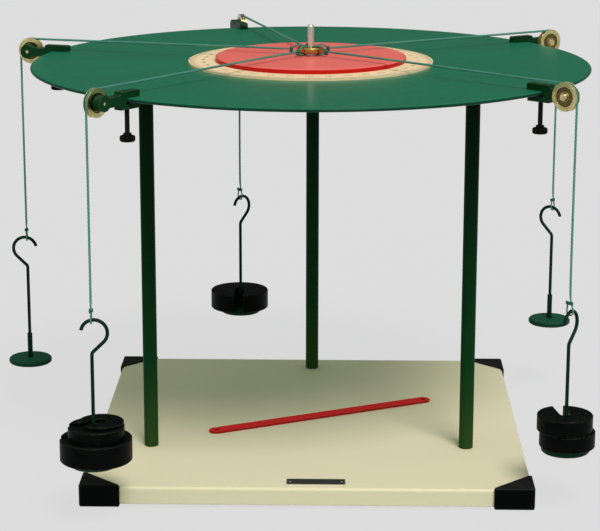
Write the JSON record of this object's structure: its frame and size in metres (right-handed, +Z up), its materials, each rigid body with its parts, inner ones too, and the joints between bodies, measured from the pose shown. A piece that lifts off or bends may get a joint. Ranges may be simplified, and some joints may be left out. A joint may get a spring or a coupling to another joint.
{
  "type": "polygon of forces apparatus",
  "caption": "Round force table on three legs over a square tray base, with clamp-on pulleys round its rim, cords from a centre ring, hooked hangers and slotted masses.",
  "frame": {"origin": "on the floor under the centre pin, in the plane of the feet's undersides", "axes": "+Z up along the centre pin, -Y to the front, +X to the right"},
  "size_m": [0.5519, 0.5609, 0.387],
  "materials": {
    "cream_enamel": "satin",
    "black_moulding": "matte",
    "dark_green_enamel": "gloss",
    "green_enamel": "gloss",
    "zinc_steel": "satin",
    "scale_card": "satin",
    "red_enamel": "gloss",
    "red_bar": "satin",
    "brass": "polished",
    "black_steel": "satin",
    "green_cord": "matte",
    "black_iron": "satin"
  },
  "bodies": {
    "stand": {"base_tray": "cream_enamel", "foot_front_left": "black_moulding", "foot_front_right": "black_moulding", "foot_rear_left": "black_moulding", "foot_rear_right": "black_moulding", "leg_rear": "dark_green_enamel", "leg_front_left": "dark_green_enamel", "leg_front_right": "dark_green_enamel", "leg_screws_base": "zinc_steel", "leg_screws_table": "green_enamel", "table_top": "green_enamel", "degree_disc": "scale_card", "red_disc": "red_enamel", "centre_pin": "zinc_steel", "pin_nut": "zinc_steel"},
    "centre_ring": {"centre_ring": "brass"},
    "clamp_1": {"clamp_frame_1": "dark_green_enamel", "axle_screw_1": "brass", "cord_1": "green_cord"},
    "thumbscrew_1": {"thumbscrew_1": "black_steel"},
    "pulley_1": {"pulley_wheel_1": "brass"},
    "hanger_1": {"hanger_hook_1": "dark_green_enamel", "hanger_pan_1": "green_enamel"},
    "clamp_2": {"clamp_frame_2": "dark_green_enamel", "axle_screw_2": "brass", "cord_2": "green_cord"},
    "thumbscrew_2": {"thumbscrew_2": "black_steel"},
    "pulley_2": {"pulley_wheel_2": "brass"},
    "hanger_2": {"hanger_hook_2": "dark_green_enamel", "hanger_pan_2": "green_enamel"},
    "clamp_3": {"clamp_frame_3": "dark_green_enamel", "axle_screw_3": "brass", "cord_3": "green_cord"},
    "thumbscrew_3": {"thumbscrew_3": "black_steel"},
    "pulley_3": {"pulley_wheel_3": "brass"},
    "hanger_3": {"hanger_hook_3": "dark_green_enamel", "hanger_pan_3": "green_enamel"},
    "clamp_4": {"clamp_frame_4": "dark_green_enamel", "axle_screw_4": "brass", "cord_4": "green_cord"},
    "thumbscrew_4": {"thumbscrew_4": "black_steel"},
    "pulley_4": {"pulley_wheel_4": "brass"},
    "hanger_4": {"hanger_hook_4": "dark_green_enamel", "hanger_pan_4": "green_enamel"},
    "clamp_5": {"clamp_frame_5": "dark_green_enamel", "axle_screw_5": "brass", "cord_5": "green_cord"},
    "thumbscrew_5": {"thumbscrew_5": "black_steel"},
    "pulley_5": {"pulley_wheel_5": "brass"},
    "hanger_5": {"hanger_hook_5": "dark_green_enamel", "hanger_pan_5": "green_enamel"},
    "mass_2_large": {"mass_2_large": "black_iron"},
    "mass_2_middle": {"mass_2_middle": "black_iron"},
    "mass_2_small": {"mass_2_small": "black_iron"},
    "mass_3_lower": {"mass_3_lower": "black_iron"},
    "mass_3_upper": {"mass_3_upper": "black_iron"},
    "mass_5_large": {"mass_5_large": "black_iron"},
    "link_bar": {"link_bar": "red_bar"}
  },
  "joints": [
    {"name": "centre_ring_turn", "type": "hinge", "parent": "stand", "child": "centre_ring", "pos_m": [0, 0, 0.3645], "axis": [0, 0, 1], "continuous": true},
    {"name": "clamp_1_round_rim", "type": "hinge", "parent": "stand", "child": "clamp_1", "pos_m": [0, 0, 0.353], "axis": [0, 0, 1], "range_deg": [-20, 20]},
    {"name": "thumbscrew_1_release", "type": "slide", "parent": "clamp_1", "child": "thumbscrew_1", "axis": [0, 0, -1], "range_m": [0, 0.005]},
    {"name": "pulley_1_turn", "type": "hinge", "parent": "clamp_1", "child": "pulley_1", "pos_m": [-0.26278, 0.07934, 0.3515], "axis": [-0.289, -0.9573, 0], "continuous": true},
    {"name": "hanger_1_swing", "type": "hinge", "parent": "clamp_1", "child": "hanger_1", "pos_m": [-0.27322, 0.08249, 0.1705], "axis": [-0.289, -0.9573, 0], "range_deg": [-20, 20]},
    {"name": "clamp_2_round_rim", "type": "hinge", "parent": "stand", "child": "clamp_2", "pos_m": [0, 0, 0.353], "axis": [0, 0, 1], "range_deg": [-20, 20]},
    {"name": "thumbscrew_2_release", "type": "slide", "parent": "clamp_2", "child": "thumbscrew_2", "axis": [0, 0, -1], "range_m": [0, 0.005]},
    {"name": "pulley_2_turn", "type": "hinge", "parent": "clamp_2", "child": "pulley_2", "pos_m": [-0.16862, -0.2166, 0.3515], "axis": [0.7891, -0.6143, 0], "continuous": true},
    {"name": "hanger_2_swing", "type": "hinge", "parent": "clamp_2", "child": "hanger_2", "pos_m": [-0.17532, -0.2252, 0.174], "axis": [0.7891, -0.6143, 0], "range_deg": [-20, 20]},
    {"name": "clamp_3_round_rim", "type": "hinge", "parent": "stand", "child": "clamp_3", "pos_m": [0, 0, 0.353], "axis": [0, 0, 1], "range_deg": [-20, 20]},
    {"name": "thumbscrew_3_release", "type": "slide", "parent": "clamp_3", "child": "thumbscrew_3", "axis": [0, 0, -1], "range_m": [0, 0.005]},
    {"name": "pulley_3_turn", "type": "hinge", "parent": "clamp_3", "child": "pulley_3", "pos_m": [0.20997, -0.17681, 0.3515], "axis": [0.6441, 0.7649, 0], "continuous": true},
    {"name": "hanger_3_swing", "type": "hinge", "parent": "clamp_3", "child": "hanger_3", "pos_m": [0.21831, -0.18383, 0.172], "axis": [0.6441, 0.7649, 0], "range_deg": [-20, 20]},
    {"name": "clamp_4_round_rim", "type": "hinge", "parent": "stand", "child": "clamp_4", "pos_m": [0, 0, 0.353], "axis": [0, 0, 1], "range_deg": [-20, 20]},
    {"name": "thumbscrew_4_release", "type": "slide", "parent": "clamp_4", "child": "thumbscrew_4", "axis": [0, 0, -1], "range_m": [0, 0.005]},
    {"name": "pulley_4_turn", "type": "hinge", "parent": "clamp_4", "child": "pulley_4", "pos_m": [0.22864, 0.15191, 0.3515], "axis": [-0.5534, 0.8329, 0], "continuous": true},
    {"name": "hanger_4_swing", "type": "hinge", "parent": "clamp_4", "child": "hanger_4", "pos_m": [0.23772, 0.15794, 0.1865], "axis": [-0.5534, 0.8329, 0], "range_deg": [-20, 20]},
    {"name": "clamp_5_round_rim", "type": "hinge", "parent": "stand", "child": "clamp_5", "pos_m": [0, 0, 0.353], "axis": [0, 0, 1], "range_deg": [-20, 20]},
    {"name": "thumbscrew_5_release", "type": "slide", "parent": "clamp_5", "child": "thumbscrew_5", "axis": [0, 0, -1], "range_m": [0, 0.005]},
    {"name": "pulley_5_turn", "type": "hinge", "parent": "clamp_5", "child": "pulley_5", "pos_m": [-0.07428, 0.26426, 0.3515], "axis": [-0.9627, -0.2706, 0], "continuous": true},
    {"name": "hanger_5_swing", "type": "hinge", "parent": "clamp_5", "child": "hanger_5", "pos_m": [-0.07723, 0.27475, 0.1705], "axis": [-0.9627, -0.2706, 0], "range_deg": [-20, 20]},
    {"name": "mass_2_large_lift", "type": "slide", "parent": "hanger_2", "child": "mass_2_large", "axis": [0, 0, 1], "range_m": [0, 0.015]},
    {"name": "mass_2_middle_lift", "type": "slide", "parent": "mass_2_large", "child": "mass_2_middle", "axis": [0, 0, 1], "range_m": [0, 0.015]},
    {"name": "mass_2_small_lift", "type": "slide", "parent": "mass_2_middle", "child": "mass_2_small", "axis": [0, 0, 1], "range_m": [0, 0.015]},
    {"name": "mass_3_lower_lift", "type": "slide", "parent": "hanger_3", "child": "mass_3_lower", "axis": [0, 0, 1], "range_m": [0, 0.015]},
    {"name": "mass_3_upper_lift", "type": "slide", "parent": "mass_3_lower", "child": "mass_3_upper", "axis": [0, 0, 1], "range_m": [0, 0.015]},
    {"name": "mass_5_large_lift", "type": "slide", "parent": "hanger_5", "child": "mass_5_large", "axis": [0, 0, 1], "range_m": [0, 0.05]},
    {"name": "link_bar_lift", "type": "slide", "parent": "stand", "child": "link_bar", "axis": [0, 0, 1], "range_m": [0, 0.1]}
  ]
}
